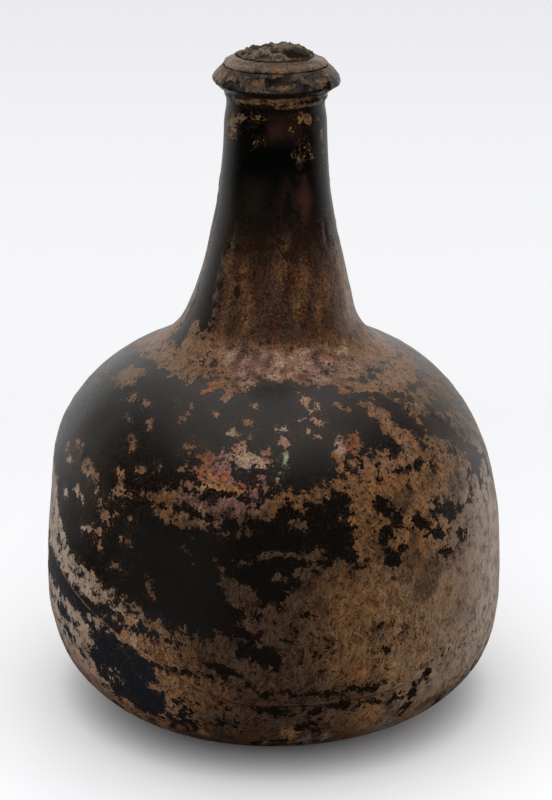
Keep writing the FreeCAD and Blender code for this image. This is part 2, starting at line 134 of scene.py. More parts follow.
studio = bpy.data.worlds.new("studio")
scene.world = studio
studio.use_nodes = True
tree = studio.node_tree
tree.nodes.clear()
ray = add_node(tree, "ShaderNodeLightPath")
look = add_node(tree, "ShaderNodeTexCoord")
axes = add_node(tree, "ShaderNodeSeparateXYZ", Vector=look.outputs["Generated"])
behind = span(tree, axes.outputs["Y"], 0.0, 0.95)
behind = sums(tree, "MULTIPLY", behind, span(tree, axes.outputs["X"], 0.1, 0.9, 1.0, 0.78))
above = span(tree, axes.outputs["Z"], 0.58, 1.0)
reflected = sums(tree, "ADD", behind, sums(tree, "MULTIPLY", above, 1.6))
open_sky = sums(tree, "MULTIPLY_ADD", behind, 0.31, 0.84)
spread = sums(tree, "MULTIPLY_ADD", above, 0.25, open_sky)
level = sums(tree, "SUBTRACT", reflected, spread)
level = sums(tree, "MULTIPLY_ADD", level, ray.outputs["Is Glossy Ray"], spread)
sky = add_node(tree, "ShaderNodeBackground", Color=(1, 1, 1, 1), Strength=level)
add_node(tree, "ShaderNodeOutputWorld", Surface=sky.outputs[0])
studio.cycles.sampling_method = "NONE"


# Blown glass
# The bubble of dark green glass was blown and swung by hand, so it is fuller at the left
# shoulder and the right heel. Its base was pushed up with a tool, and the iron that held it
# there left a rough ring. The outline runs from the top of the push-up out to the standing
# ring, up the outside to the lip, and down the inside again. Sizes are millimetres.

def bend(path, radius, turn, step=1.1):
    """Carries a profile on in a round curve that turns left, or right where turn is negative."""
    r, z, heading = path[-1][:3]
    side = math.copysign(radius, turn)
    steps = max(1, round(radius * math.radians(abs(turn)) / step))
    for k in range(1, steps + 1):
        now = heading + turn * k / steps
        path.append((
            r + side * (math.sin(math.radians(now)) - math.sin(math.radians(heading))),
            z - side * (math.cos(math.radians(now)) - math.cos(math.radians(heading))),
            now,
        ))


def straight(path, length, step=1.1):
    """Carries a profile straight on."""
    r, z, heading = path[-1][:3]
    steps = max(1, round(length / step))
    for k in range(1, steps + 1):
        reach = length * k / steps
        path.append((
            r + reach * math.cos(math.radians(heading)),
            z + reach * math.sin(math.radians(heading)),
            heading,
        ))


def spun(name, profile, segments, closed=False):
    """Spins a profile of (radius, height) once round the bottle's axis."""
    work = bmesh.new()
    order = work.verts.layers.float.new("order")
    verts = []
    for k, point in enumerate(profile):
        vert = work.verts.new((point[0] / 1000, 0, point[1] / 1000))
        vert[order] = k
        verts.append(vert)
    pairs = list(zip(verts, verts[1:] + verts[:1] if closed else verts[1:]))
    edges = [work.edges.new(pair) for pair in pairs]
    bmesh.ops.spin(
        work, geom=verts + edges, cent=(0, 0, 0), axis=(0, 0, 1), angle=2 * math.pi,
        steps=segments, use_merge=True,
    )
    bmesh.ops.remove_doubles(work, verts=work.verts, dist=0.00001)
    bmesh.ops.recalc_face_normals(work, faces=work.faces)
    data = bpy.data.meshes.new(name)
    work.to_mesh(data)
    work.free()
    for face in data.polygons:
        face.use_smooth = True
    return data


def points_of(data):
    """A mesh's vertices in millimetres, and the row of the profile that each came from."""
    places = np.empty(len(data.vertices) * 3, dtype=np.float32)
    data.vertices.foreach_get("co", places)
    rows = np.empty(len(data.vertices), dtype=np.float32)
    data.attributes["order"].data.foreach_get("value", rows)
    return places.reshape(-1, 3).astype(float) * 1000, rows


def ease(value, low, high):
    """Rises smoothly from 0 at low to 1 at high."""
    share = np.clip((value - low) / (high - low), 0, 1)
    return share * share * (3 - 2 * share)


def wander(places, size, seed):
    """Smooth noise, about -1 to 1, with lumps of a size in millimetres."""
    shift = Vector((seed * 17.3, seed * 5.1, seed * 9.7))
    return np.array([noise.noise(Vector(p) / size + shift) for p in places]) * 1.6


wall, bottom, bore = 3.8, 7, 10.2
kick_height, standing_ring, lip_foot = 28, 37.3, 196.0
# radii of the arcs from the standing ring up
heel_arc, low_arc, side_arc, shoulder_arc, root_arc, neck_arc = 29.9, 36.9, 210.6, 46.4, 22.5, 188

glass_path = [(0, kick_height, 0)]
bend(glass_path, 32, -73, 2)
bend(glass_path, 3, 73, 1)
straight(glass_path, standing_ring - glass_path[-1][0], 1.5)
heel_start = len(glass_path) - 1
glass_path[-1] = (standing_ring, 0, 0)
bend(glass_path, heel_arc, 36.87)
bend(glass_path, low_arc, 53.13)
bend(glass_path, side_arc, 11.09)
bend(glass_path, shoulder_arc, 57.19)
bend(glass_path, root_arc, -49.75)
bend(glass_path, neck_arc, -17.0)
bend(glass_path, 26, 9.5)
bend(glass_path, 14, -10)
straight(glass_path, lip_foot - glass_path[-1][1])
neck_top = len(glass_path) - 1
# the rounded lip
glass_path += [
    (14.5, 196.05), (14.85, 196.25), (15.0, 196.55), (14.9, 196.9), (14.6, 197.2), (14.1, 197.45),
    (13.5, 197.7), (12.9, 198.0), (12.2, 198.4), (11.5, 198.7), (10.9, 198.75), (10.5, 198.3),
    (10.3, 197.4), (bore, 195),
]
outer_end = len(glass_path) - 1
inner = [(bore, 183.6, -90)]
bend(inner, 192.8, 18.5, 6)
bend(inner, root_arc + wall, 49.8, 3)
bend(inner, shoulder_arc - wall, -57.2, 3)
bend(inner, side_arc - wall, -11.1, 6)
bend(inner, low_arc - wall, -53.1, 3)
bend(inner, heel_arc - bottom, -36.9, 3)
glass_path += inner + [(31, 10.5), (26, 17), (20, 23.5), (13, 29), (6, 32.2), (0, 33)]

glass_data = spun("glass_body", glass_path, segments=300)
spots, row = points_of(glass_data)

# climb is the way along the outside from the standing ring, turn the angle from the front
lengths = [math.dist(a[:2], b[:2]) for a, b in zip(glass_path, glass_path[1:])]
along = np.concatenate(([0], np.cumsum(lengths)))
climb = np.interp(row, range(len(along)), along) - along[heel_start]
turn = np.degrees(np.arctan2(spots[:, 0], -spots[:, 1]))
girth = np.maximum(np.hypot(spots[:, 0], spots[:, 1]), 1)
outside = (row >= heel_start) & (row <= outer_end)

FAR = -12.0  # the depth of a point well outside the crust


class Coat:
    """A layer on the glass, kept at each point as how many millimetres it lies inside its edge."""

    def __init__(self, turn, climb, girth, start=FAR):
        self.turn, self.climb, self.girth = turn, climb, girth
        self.depth = np.full(len(turn), start)

    def across(self, degrees):
        """The way round from a turn, in millimetres."""
        return ((self.turn - degrees + 180) % 360 - 180) * self.girth * math.pi / 180

    def patch(self, left, right, low, high):
        """Depth inside a patch between two turns and two climbs. A full turn has no sides."""
        half = (right - left) / 2 * self.girth * math.pi / 180
        side = abs(self.across((left + right) / 2)) - half
        if right - left >= 360:
            side = side - 100
        rise = abs(self.climb - (low + high) / 2) - (high - low) / 2
        return -np.where(
            np.maximum(side, rise) < 0,
            np.maximum(side, rise),
            np.hypot(np.maximum(side, 0), np.maximum(rise, 0)),
        )

    def line(self, first, second):
        """How far along a line between two marks each point is, and how far off it."""
        x, y = self.across(first[0]), self.climb - first[1]
        run = (second[0] - first[0]) * self.girth * math.pi / 180
        rise = second[1] - first[1]
        share = np.clip((x * run + y * rise) / np.maximum(run**2 + rise**2, 1e-6), 0, 1)
        return share, np.hypot(x - run * share, y - rise * share)

    def stroke(self, width, *marks):
        """Depth inside a brush stroke of that half width."""
        pairs = zip(marks, marks[1:] if len(marks) > 1 else marks)
        return width - np.min([self.line(*pair)[1] for pair in pairs], axis=0)

    def wisp(self, width, first, second):
        """Depth inside a short stroke that tapers at both ends."""
        share, off = self.line(first, second)
        return width * (1 - 0.9 * abs(2 * share - 1)) - off

    def add(self, *depths):
        """Lays the layer wherever one of the depths is above 0."""
        for depth in depths:
            self.depth = np.maximum(self.depth, depth)

    def strip(self, *depths):
        """Takes the layer away there."""
        for depth in depths:
            self.depth = np.minimum(self.depth, -depth)


crust = Coat(turn, climb, girth)
patch, stroke, wisp = crust.patch, crust.stroke, crust.wisp
clouds, flecked = wander(spots, 13, 31), wander(spots, 4.5, 32)
mottled, crystals = wander(spots, 7, 33), wander(spots, 3, 34)
runs = wander(spots * (1, 1, 0.15), 4, 35)

# lower half and right side
crust.add(
    patch(-100, 90, 3, 52), patch(-100, -28, 3, 60), stroke(5, (-95, 92), (-76, 89)),
    stroke(8, (-2, 52), (4, 64), (10, 76), (22, 78), (60, 60), (30, 54), (0, 52)),
    patch(12, 90, 50, 84), patch(20, 58, 80, 108), patch(55, 90, 40, 92), patch(88, 100, 40, 88),
    stroke(3, (-9, 78), (0, 72), (-12, 62), (-4, 55)), stroke(1.6, (-12, 83), (-6, 76), (2, 70)),
    stroke(6.5, (-95, 84), (-80, 82), (-68, 76)),
    stroke(4.2, (-72, 78), (-60, 71.5), (-50, 69.5), (-40, 66), (-30, 62.5), (-15, 59)),
    stroke(4, (-30, 57), (0, 56)),
)
for mark in (
    (4.0, (56, 92), (62, 100)), (4.0, (64, 92), (68, 97)), (4.5, (72, 90), (79, 99)),
    (5.0, (80, 88), (90, 95)), (3.0, (84, 96), (96, 102)), (5.0, (94, 88), (106, 98)),
    (2.0, (88, 104), (94, 110)),
):
    crust.add(wisp(*mark))
# right of the middle: a thin golden tongue climbs to the shoulder
crust.add(
    stroke(2, (6, 104), (12, 106), (18, 108), (30, 110), (45, 112), (52, 110)),
    stroke(1.4, (18, 112), (20, 118), (21, 121)), stroke(1.8, (23, 113), (25, 121)),
    stroke(1.6, (28, 113), (33, 114)), stroke(2.4, (45, 114), (41, 119), (38, 126)),
    stroke(1.2, (38, 126), (36, 130)),
)
# thin film in the middle
crust.add(stroke(2.2, (-30, 103), (-22, 104), (-14, 101), (-6, 102)))
for mark in (
    (1.6, (-29, 98), (-12, 97)), (2.0, (-8, 98), (4, 107)), (1.5, (-20, 93), (-4, 96)),
    (1.4, (-14, 88), (2, 90)), (1.3, (4, 90), (14, 87)), (1.2, (0, 83), (12, 86)),
    (0.9, (3, 97), (15, 99)),
):
    crust.add(wisp(*mark))
# iridescent cluster
for mark in (
    (1.3, (-27, 119), (-19, 115)), (2.4, (-21, 119), (-14, 111)), (1.5, (-14, 118), (-3, 114)),
    (3.0, (-23, 112), (-6, 108)), (1.6, (-16, 108), (-12, 102)), (1.4, (-9, 109), (-3, 105)),
    (0.9, (-12, 113), (-10, 121)), (0.7, (-6, 116), (0, 116)), (1.5, (-17, 104), (-6, 103)),
    (1.2, (-5, 103), (-1, 109)),
):
    crust.add(wisp(*mark))
crust.strip(stroke(0.9, (-15, 106.5), (-11, 106)))
for mark in (
    (1.0, (-16, 113), (-12, 115)), (0.6, (-9, 120), (-7, 124)), (0.6, (-3, 118), (1, 121)),
    (1.0, (-23, 108), (-19, 106)), (0.7, (-25, 112), (-21, 113)), (1.0, (-1, 104), (6, 108)),
):
    crust.add(wisp(*mark))
# neck, and the ring where it meets the shoulder
crust.add(patch(-46, 90, 152, 182), patch(-62, 90, 143.5, 156))
for mark in (
    (1.2, (-40, 176), (-38, 189)), (1.4, (-29, 178), (-27, 191)), (1.4, (-17, 179), (-16, 186)),
    (1.8, (2, 179), (3, 194)), (2.2, (12, 180), (13, 199)), (1.8, (22, 179), (24, 195)),
    (1.4, (34, 178), (35, 187)), (1.5, (47, 178), (49, 190)), (1.0, (-8, 180), (-6, 187)),
    (1.4, (60, 178), (62, 192)), (1.4, (-48, 165), (-47, 180)),
):
    crust.add(wisp(*mark))
crust.strip(wisp(1.2, (-13, 181), (-12, 184)), wisp(0.9, (-30, 168), (-29, 172)))
crust.add(
    patch(26, 95, 140, 150), stroke(2.4, (-78, 143), (-60, 143.5), (-45, 143.5), (-38, 142.5)),
    stroke(2.4, (-24, 142), (-15, 141), (-10, 144)),
    stroke(2.6, (0, 147.5), (3, 146), (7, 147.5), (12, 145), (20, 142.5), (28, 142)),
    stroke(3, (30, 141), (36, 139), (41, 136), (48, 135), (58, 137), (75, 138)),
    stroke(3, (54, 133), (68, 133), (90, 136)),
)
for mark in (
    (2.6, (-29, 136), (-22, 146)), (3.0, (-19, 134), (-16, 146)), (1.8, (58, 127), (78, 123)),
    (1.2, (66, 121), (72, 130)), (1.3, (49, 129), (58, 117)), (0.9, (56, 127), (67, 119)),
    (1.2, (60, 131), (74, 116)), (1.2, (64, 114), (76, 104)), (0.9, (58, 112), (64, 105)),
    (1.3, (70, 128), (82, 118)),
):
    crust.add(wisp(*mark))
crust.strip(
    wisp(1.1, (-34, 139), (-33, 149)), wisp(1.3, (-44, 147), (-37, 150)),
    wisp(1.3, (-10, 140), (4, 143.2)), wisp(0.8, (30, 148), (33, 146)),
)
# shoulder, left to right
crust.add(
    patch(-76, -61, 129, 138), stroke(3, (-88, 146), (-62, 147)), stroke(2, (-60, 156), (-52, 152)),
)
for mark in (
    (1.2, (-60, 127), (-52, 129.5)), (0.8, (-52, 128.5), (-45, 128)), (0.9, (-31, 124), (-30, 131)),
    (0.8, (-38, 132), (-35, 130)), (1.5, (-61, 105), (-54, 103)), (1.5, (-55, 105), (-50, 99)),
    (1.2, (-44, 107), (-41, 101)), (1.1, (-43, 102), (-46, 96)), (1.5, (-49, 97), (-44, 91)),
    (1.0, (-41, 96), (-45, 93)), (1.1, (-55, 86), (-47, 88)), (0.9, (-50, 87), (-47, 84)),
    (1.0, (-60, 97), (-56, 95)), (1.1, (-37, 95), (-29, 93)), (0.9, (-37, 101), (-34, 103)),
    (1.0, (-31, 79), (-29, 73)), (0.8, (-66, 109), (-61, 107)), (0.6, (-40, 88), (-36, 87)),
    (0.8, (-26, 90), (-21, 88)), (0.6, (-42, 79), (-38, 79)), (0.6, (-24, 83), (-20, 84)),
    (1.0, (-72, 105), (-66, 102)), (0.8, (-67, 94), (-64, 91)), (0.5, (-46, 117), (-43, 115)),
    (0.6, (-53, 121), (-50, 122)), (0.7, (-40, 110), (-36, 109)), (0.6, (2, 126), (5, 124.5)),
    (0.8, (1, 123), (6, 120.5)), (0.9, (11, 124), (14, 122)), (1.2, (4, 119), (1, 111)),
    (0.6, (-8, 134), (-6, 133)), (0.6, (-9, 129), (-7, 127)), (0.9, (11, 134), (15, 131)),
    (0.9, (12, 137), (16, 134)), (1.0, (10, 129), (16, 126.5)), (0.9, (23, 132.5), (27, 130.5)),
    (0.7, (28, 137), (32, 135)), (0.9, (50, 125), (54, 122.5)), (0.8, (54, 120), (58, 117)),
    (0.5, (-22, 131), (-19, 129)), (0.5, (-14, 125), (-11, 124)), (0.5, (-42, 124), (-40, 121)),
    (0.8, (-27, 117), (-24, 121)), (0.6, (-34, 112), (-31, 111)), (0.8, (-3, 111), (-1, 108)),
):
    crust.add(wisp(*mark))
# bare glass again
crust.strip(
    stroke(5, (62, 113), (72, 111)), wisp(6, (60, 122), (84, 110)), wisp(3, (74, 104), (86, 106)),
)
chance = random.Random(21)
for _ in range(54):
    place = (chance.uniform(50, 96), chance.uniform(105, 131))
    to = (place[0] + chance.uniform(5, 12), place[1] - chance.uniform(4, 11))
    crust.add(wisp(chance.uniform(0.9, 2.6), place, to))
crust.strip(
    stroke(7, (-31, 92), (-26, 82), (-23, 74)), stroke(4, (-18, 92), (-12, 90), (-4, 93)),
    stroke(3.5, (-16, 84), (-16, 74), (-19, 68)), stroke(3.6, (11, 99), (17, 96), (13, 93)),
    stroke(2, (2, 100), (18, 101)),
)
for mark in (
    (4, (52, 121), (66, 112)), (2.2, (-13, 68), (-6, 66)), (2.0, (16, 91), (22, 86)),
    (3.0, (27, 103), (31, 96)), (2.8, (30, 98), (34, 93)), (2.6, (26, 94), (31, 91)),
    (3.0, (36, 94), (43, 91)), (2.6, (43, 92), (48, 97)), (3.2, (46, 94), (56, 91)),
    (2.6, (40, 89), (49, 86)), (1.8, (44, 82), (50, 81.5)), (1.8, (51, 85), (57, 84)),
    (2.2, (28, 87), (31, 82)), (1.2, (32, 86), (34, 88)), (1.0, (46, 109), (49, 106)),
    (0.8, (36, 105), (38, 103)),
):
    crust.strip(wisp(*mark))
for at, up, size in (
    (21.5, 85, 0.9), (8.5, 72.5, 1.3), (-2.5, 76, 1.5), (-4, 72, 0.8), (13, 55, 0.9),
    (27, 58, 0.8), (12, 59.5, 0.8), (39.5, 46, 1.2), (48, 107, 0.8), (5, 66, 0.7),
    (26, 66, 0.5), (33, 61, 0.5), (-9, 68, 0.8), (-13, 74, 0.9), (20, 75, 0.5),
    (15, 50, 0.7), (-6, 50, 0.8), (-66, 74, 1.0), (-58, 71, 0.8), (-48, 68, 0.7),
):
    crust.strip(wisp(1.3 * size, (at - size, up - 0.6), (at + size, up + 0.8)))
crust.strip(
    stroke(2.4, (-6, 61), (0, 58)), stroke(0.9, (-2, 47.5), (10, 46.5), (28, 47)),
    stroke(0.8, (14, 42), (34, 40)), stroke(2.6, (-72, 62), (-62, 62.5), (-54, 61)),
    stroke(6.2, (-43, 51), (-37, 42), (-33, 38)), stroke(5.0, (-48, 47), (-42, 39)),
    stroke(3.0, (-38, 35), (-34, 34)), stroke(4.0, (-46, 55), (-32, 50)),
    stroke(1.8, (-36, 62), (-29, 61.5)), stroke(1.3, (-43, 65), (-39, 64.5)),
    stroke(1.2, (-26, 61), (-23, 62)), wisp(2.8, (-76, 55), (-56, 54)),
    wisp(2.0, (-70, 50), (-58, 49)),
)
crust.add(stroke(1.0, (-45, 43), (-42, 44)))
for mark in (
    (1.6, (-63, 69), (-60, 66)), (1.4, (-55, 73), (-52, 71)), (2.2, (-47, 66), (-41, 64)),
    (2.2, (-37, 67), (-33, 64)), (1.0, (-42, 70), (-40, 69)), (1.8, (-70, 78), (-67, 75)),
    (1.6, (-77, 84), (-74, 81)), (1.2, (-28, 66), (-25, 64)), (1.2, (-21, 58), (-18, 57)),
    (1.6, (-52, 58), (-49, 56)), (1.6, (-16, 55), (-8, 53)), (0.9, (-22, 52), (-20, 50)),
    (1.5, (-13, 43), (-9, 41)), (1.8, (-5, 42), (3, 40)), (0.9, (-14, 50), (-11, 49)),
    (1.5, (8, 42), (12, 38)), (1.0, (-58, 46), (-54, 44)), (1.0, (-50, 38), (-48, 36)),
):
    crust.strip(wisp(*mark))
for at, up, size in (
    (-24, 41, 1.1), (-19, 42, 0.9), (-11, 40, 1.1), (-23, 38, 0.8), (-16, 47, 0.6),
):
    crust.strip(stroke(size, (at, up)))

# soil has worn dark streaks up from the standing ring
chance = random.Random(4)
for _ in range(46):
    place = (chance.uniform(-80, 85), chance.uniform(13, 33))
    width = chance.uniform(0.6, 1.6)
    to = (place[0] + chance.uniform(-3, 3), place[1] + chance.uniform(5, 13))
    crust.strip(wisp(width, place, to))

# Round the back, where the bottle lay deeper in the ground, the crust climbs as high and ends
# as raggedly, with flakes left on the shoulder and flakes gone from the belly
chance = random.Random(11)


def at_random(low, high, wide, tall):
    """The two ends of a short mark somewhere round the back."""
    place = (chance.uniform(84, 278), chance.uniform(low, high))
    return place, (place[0] + chance.uniform(-wide, wide), place[1] + chance.uniform(-tall, tall))


crust.add(patch(97, 275, 3, 62))
crust.add(np.minimum(patch(94, 279, -20, 140), 0.8 * (90 + 20 * clouds - climb)))
crust.strip(np.minimum(patch(104, 262, 14, 100), 6 * (mottled - 0.8)))
for _ in range(46):
    place = (chance.uniform(92, 278), chance.uniform(80, 98))
    to = (place[0] + chance.uniform(-16, 16), place[1] + chance.uniform(4, 20))
    crust.add(wisp(chance.uniform(2, 6), place, to))
crust.add(patch(85, 282, 144, 168))
crust.add(np.minimum(patch(84, 280, 140, 224), 0.5 * (180 + 16 * runs - climb)))
for _ in range(26):
    place = (chance.uniform(84, 280), chance.uniform(176, 182))
    crust.add(wisp(chance.uniform(1, 2.4), place, (place[0] + 2, place[1] + chance.uniform(6, 18))))
for _ in range(95):
    crust.add(wisp(chance.uniform(0.4, 2.4), *at_random(104, 143, 9, 6)))
for _ in range(9):
    crust.add(wisp(chance.uniform(2.5, 5), *at_random(132, 146, 14, 6)))
for _ in range(34):
    crust.strip(wisp(chance.uniform(0.8, 3), *at_random(22, 100, 6, 5)))
for _ in range(16):
    first, second = at_random(36, 96, 16, 8)
    crust.strip(wisp(chance.uniform(2, 6), first, second))
    width = chance.uniform(2, 4)
    crust.strip(wisp(width, second, (second[0] + chance.uniform(-8, 8), second[1] + 5)))
for _ in range(30):
    crust.strip(wisp(chance.uniform(0.5, 1.5), *at_random(142, 186, 5, 7)))
for _ in range(30):
    crust.add(wisp(chance.uniform(0.4, 1.3), *at_random(196, 223, 14, 5)))
# the base: crust in the push-up, worn off the standing ring and round the pontil ring
crust.add(patch(-180, 180, -60, 6))
crust.strip(np.minimum(patch(-180, 180, -3.2, 1.6), 2.4 * mottled + 1.2))
under, pontil = row < heel_start, 10
crust.strip(np.where(under & (mottled > -0.3), 3.4 - abs(girth - pontil - 3.5), FAR))
# lip, and flecks on the neck under the rim
crust.add(np.where((row > neck_top + 1) & (row <= outer_end), 5.0, FAR))
crust.add(stroke(0.9, (24, 203.5), (30, 203)), stroke(0.8, (-10, 190), (-6, 193)))
for mark in (
    (0.9, (-64, 217), (-48, 219)), (1.3, (-54, 219), (-34, 220)), (1.2, (-40, 220), (-14, 220.8)),
    (0.8, (-60, 213), (-50, 217)), (0.7, (28, 219), (40, 221)), (0.7, (38, 220), (54, 219)),
    (0.5, (-24, 212), (-20, 215)), (0.2, (18, 218), (26, 215)), (0.8, (-84, 222), (-80, 204)),
    (0.3, (62, 216), (68, 206)), (1.5, (22, 209.5), (44, 208.5)), (1.2, (38, 212), (26, 205)),
):
    crust.add(wisp(*mark))

# Colours: the crust has one at each point, and the glass under it another
tints = {
    "tan": (0.180, 0.094, 0.046), "golden": (0.170, 0.079, 0.026), "film": (0.055, 0.027, 0.011),
    "brown": (0.042, 0.0125, 0.003), "black": (0.003, 0.0015, 0.0008),
    "pink": (0.215, 0.115, 0.090),
    "orange": (0.30, 0.11, 0.032), "umber": (0.042, 0.022, 0.013), "pale": (0.34, 0.26, 0.20),
    "green": (0.22, 0.25, 0.17), "red": (0.20, 0.05, 0.02), "flake": (0.28, 0.16, 0.05),
    "grey": (0.160, 0.098, 0.054), "violet": (0.16, 0.075, 0.09), "ochre": (0.145, 0.076, 0.024),
    "lip": (0.15, 0.105, 0.070), "ash": (0.15, 0.118, 0.098),
}
hue = np.tile(tints["golden"], (len(spots), 1))


def colour(name, depth, soft, strength=1.0):
    """Colours the crust, fading out over a soft edge."""
    share = (strength * ease(depth, -soft, soft))[:, None]
    hue[:] = hue * (1 - share) + np.array(tints[name]) * share


colour("tan", patch(95, 265, 3, 140), 14, 0.5)
chance = random.Random(5)
for _ in range(90):
    name = chance.choice(("film", "umber", "grey", "tan", "golden", "brown"))
    mark = stroke(chance.uniform(2, 10), *at_random(20, 112, 16, 14))
    colour(name, mark, 8, chance.uniform(0.3, 0.8))
colour("brown", patch(70, 300, 156, 225), 8)
for _ in range(30):
    name = chance.choice(("golden", "umber", "film"))
    colour(name, wisp(2.4, *at_random(150, 180, 4, 12)), 2, 0.6)
colour("black", patch(60, 300, 184, 240), 12)
colour("pink", patch(80, 280, 141, 150), 5, 0.7)
for _ in range(24):
    name = chance.choice(("pink", "pale", "violet", "golden"))
    colour(name, stroke(2, *at_random(106, 142, 6, 4)), 2, 0.6)
colour("film", patch(-32, 12, 30, 104), 9)
colour("umber", patch(-36, -2, 62, 98), 8, 0.6)
colour("umber", patch(-8, 20, 80, 92), 5, 0.6)
colour("film", patch(5, 30, 55, 92), 9, 0.4)
colour("tan", patch(-180, -38, 20, 150), 10)
colour("tan", patch(-38, -14, 38, 52), 5, 0.5)
colour("umber", patch(-32, 24, -5, 52), 7, 0.72)
colour("umber", stroke(2.5, (0, 46), (35, 42)), 4, 0.8)
colour("umber", patch(-180, 180, -60, 30), 10, 0.5)
chance = random.Random(8)
for _ in range(110):
    place = (chance.uniform(-95, 95), chance.uniform(5, 26))
    to = (place[0] + chance.uniform(-4, 4), place[1] + chance.uniform(6, 13))
    name = chance.choice(("tan", "golden", "umber", "ash"))
    colour(name, wisp(chance.uniform(0.8, 2.4), place, to), 0.8, 0.8)
colour("ash", patch(-120, -42, -4, 30), 9, 0.85)
colour("ash", patch(30, 120, -4, 32), 9, 0.8)
colour("grey", patch(26, 90, 34, 80), 9, 0.9)
colour("tan", patch(40, 90, 70, 100), 10, 0.6)
colour("ash", patch(62, 120, 36, 96), 12, 0.8)
colour("pale", np.minimum(patch(66, 116, 44, 88), 9 + 12 * clouds), 16, 0.65)
colour("umber", np.minimum(patch(20, 100, 40, 96), 10 * (clouds - 0.45)), 4, 0.35)
colour("film", np.minimum(patch(24, 96, 30, 110), 10 * (mottled - 0.45)), 3, 0.7)
colour("ochre", np.minimum(patch(20, 96, 30, 118), 10 * (-mottled - 0.4)), 3, 0.7)
colour("tan", patch(-48, -22, 28, 72), 7, 0.85)
colour("pale", np.minimum(patch(-100, -50, 66, 98), 6 + 8 * mottled), 5, 0.45)
colour("pale", np.minimum(patch(-62, -34, 52, 72), 6 * (mottled - 0.1)), 3, 0.5)
colour("tan", patch(-30, -14, 96, 108), 3, 0.5)
colour("umber", patch(56, 104, 103, 128), 6, 0.8)
chance = random.Random(22)
for _ in range(26):
    place = (chance.uniform(50, 92), chance.uniform(104, 130))
    colour("tan", wisp(1.2, place, (place[0] + 8, place[1] - 7)), 1, 0.7)
colour("brown", patch(-60, 70, 154, 225), 7)
for mark in ((-36, 158), (-27, 166), (-20, 156), (3, 170), (10, 178), (16, 160), (24, 168),
             (33, 158), (44, 164), (-42, 170)):
    colour("golden", wisp(2.0, mark, (mark[0] + 2, mark[1] + 14)), 2.0, 0.5)
for mark in ((-32, 160), (-12, 158), (-3, 164), (8, 156), (28, 162), (38, 170), (50, 160)):
    colour("umber", wisp(2.5, mark, (mark[0] + 3, mark[1] + 12)), 2.0, 0.7)
colour("tan", patch(46, 110, 150, 176), 8, 0.15)
colour("black", patch(-70, 60, 183, 240), 14)
colour("pink", stroke(6, (-22, 148), (0, 147), (25, 146)), 4)
colour("umber", np.minimum(patch(-50, 60, 141, 160), 5 * (crystals - 0.4)), 1.5, 0.7)
colour("pale", np.minimum(patch(-40, 50, 141, 153), 5 * (-crystals - 0.35)), 1.5, 0.65)
colour("pink", stroke(4, (25, 145), (60, 143)), 4, 0.5)
colour("pink", patch(-60, 24, 119, 139), 4, 0.75)
colour("umber", patch(-62, -22, 112, 139), 4, 0.45)
colour("pale", patch(-6, 22, 120, 138), 4, 0.4)
colour("tan", stroke(4, (-40, 152), (-32, 147), (-26, 144)), 3)
colour("tan", stroke(4, (36, 135), (60, 137)), 4)
colour("orange", stroke(1.5, (-28, 137), (-28, 139)), 1.5, 0.7)
colour("tan", patch(-90, -52, 126, 162), 5)
colour("film", patch(-84, -54, 120, 142), 6, 0.4)
# iridescence: lilac above, orange and yellow in the middle, violet below
colour("violet", stroke(4, (-20, 105), (-6, 105)), 3, 0.5)
colour("pink", stroke(3.5, (-20, 112), (-4, 113)), 2, 0.9)
colour("orange", stroke(1.6, (-20, 111.5), (-14, 111)), 1.5, 0.9)
colour("flake", wisp(2.2, (-20, 107.5), (-7, 107)), 1, 0.9)
colour("red", np.minimum(stroke(4, (-18, 112), (-8, 110)), 4 * (crystals - 0.3)), 1, 0.7)
colour("pale", wisp(3.4, (-14, 118), (-1, 114.5)), 1.5, 0.7)
colour("violet", np.minimum(stroke(4, (-14, 115), (-4, 113)), 4 * (-crystals - 0.2)), 1, 0.8)
colour("green", stroke(1, (-14, 122), (-13, 124)), 1, 0.7)
colour("golden", stroke(4, (22, 110), (55, 108)), 4)
colour("pink", stroke(3, (24, 114), (42, 112)), 3, 0.4)
colour("red", stroke(2, (22, 117), (26, 122)), 2, 0.7)
colour("pale", stroke(1, (20, 117), (20, 121)), 1, 0.7)
colour("tan", stroke(3, (41, 116), (38, 127)), 2)
colour("orange", stroke(1.5, (-53, 86), (-48, 87)), 1.5, 0.4)
for at, up, size in (
    (21.5, 52, 1.2), (29, 52, 1.2), (38, 52, 1.2), (25, 40.5, 1.4), (31.5, 40, 0.8),
):
    colour("orange", stroke(size, (at, up)), 1.5, 0.5)
for at, up, size in ((8, 136, 1), (15, 135, 1), (13, 128, 1.4), (25, 131.5, 1), (12.5, 123, 1)):
    colour("pink", stroke(size, (at, up)), 1)
colour("green", stroke(1.6, (3, 117), (2, 112)), 1)
colour("orange", patch(-27, -10, 40, 51), 5, 0.15)
back = patch(100, 284, 3, 140)
colour("ash", np.minimum(back, 10 * clouds), 6, 0.7)
colour("film", np.minimum(back, 10 * (-clouds - 0.25)), 5, 0.75)
colour("umber", np.minimum(back, 10 * (mottled - 0.4)), 3, 0.7)
colour("pale", np.minimum(back, 8 * (flecked - 0.7)), 2, 0.5)
colour("ochre", np.minimum(back, 8 * (-flecked - 0.6)), 2, 0.7)
colour("umber", np.minimum(patch(66, 296, 150, 225), 8 * (runs - 0.2)), 3, 0.7)
colour("golden", np.minimum(patch(66, 296, 150, 185), 8 * (-runs - 0.3)), 3, 0.6)
colour("ochre", patch(-70, 64, 212, 224), 2, 0.75)
colour("umber", np.where(under, 25 - girth, FAR), 6, 0.6)
colour("pale", np.where(under, 1.6 - abs(girth - pontil), FAR), 1, 0.7)
colour("flake", stroke(2, (28, 211), (46, 211)), 2)
lip = (row > neck_top) & (row <= outer_end)
colour("lip", np.where(lip, 5.0, FAR), 1)
colour("umber", np.where(lip, 9 - abs(turn - 5) / 5, FAR), 4, 0.65)
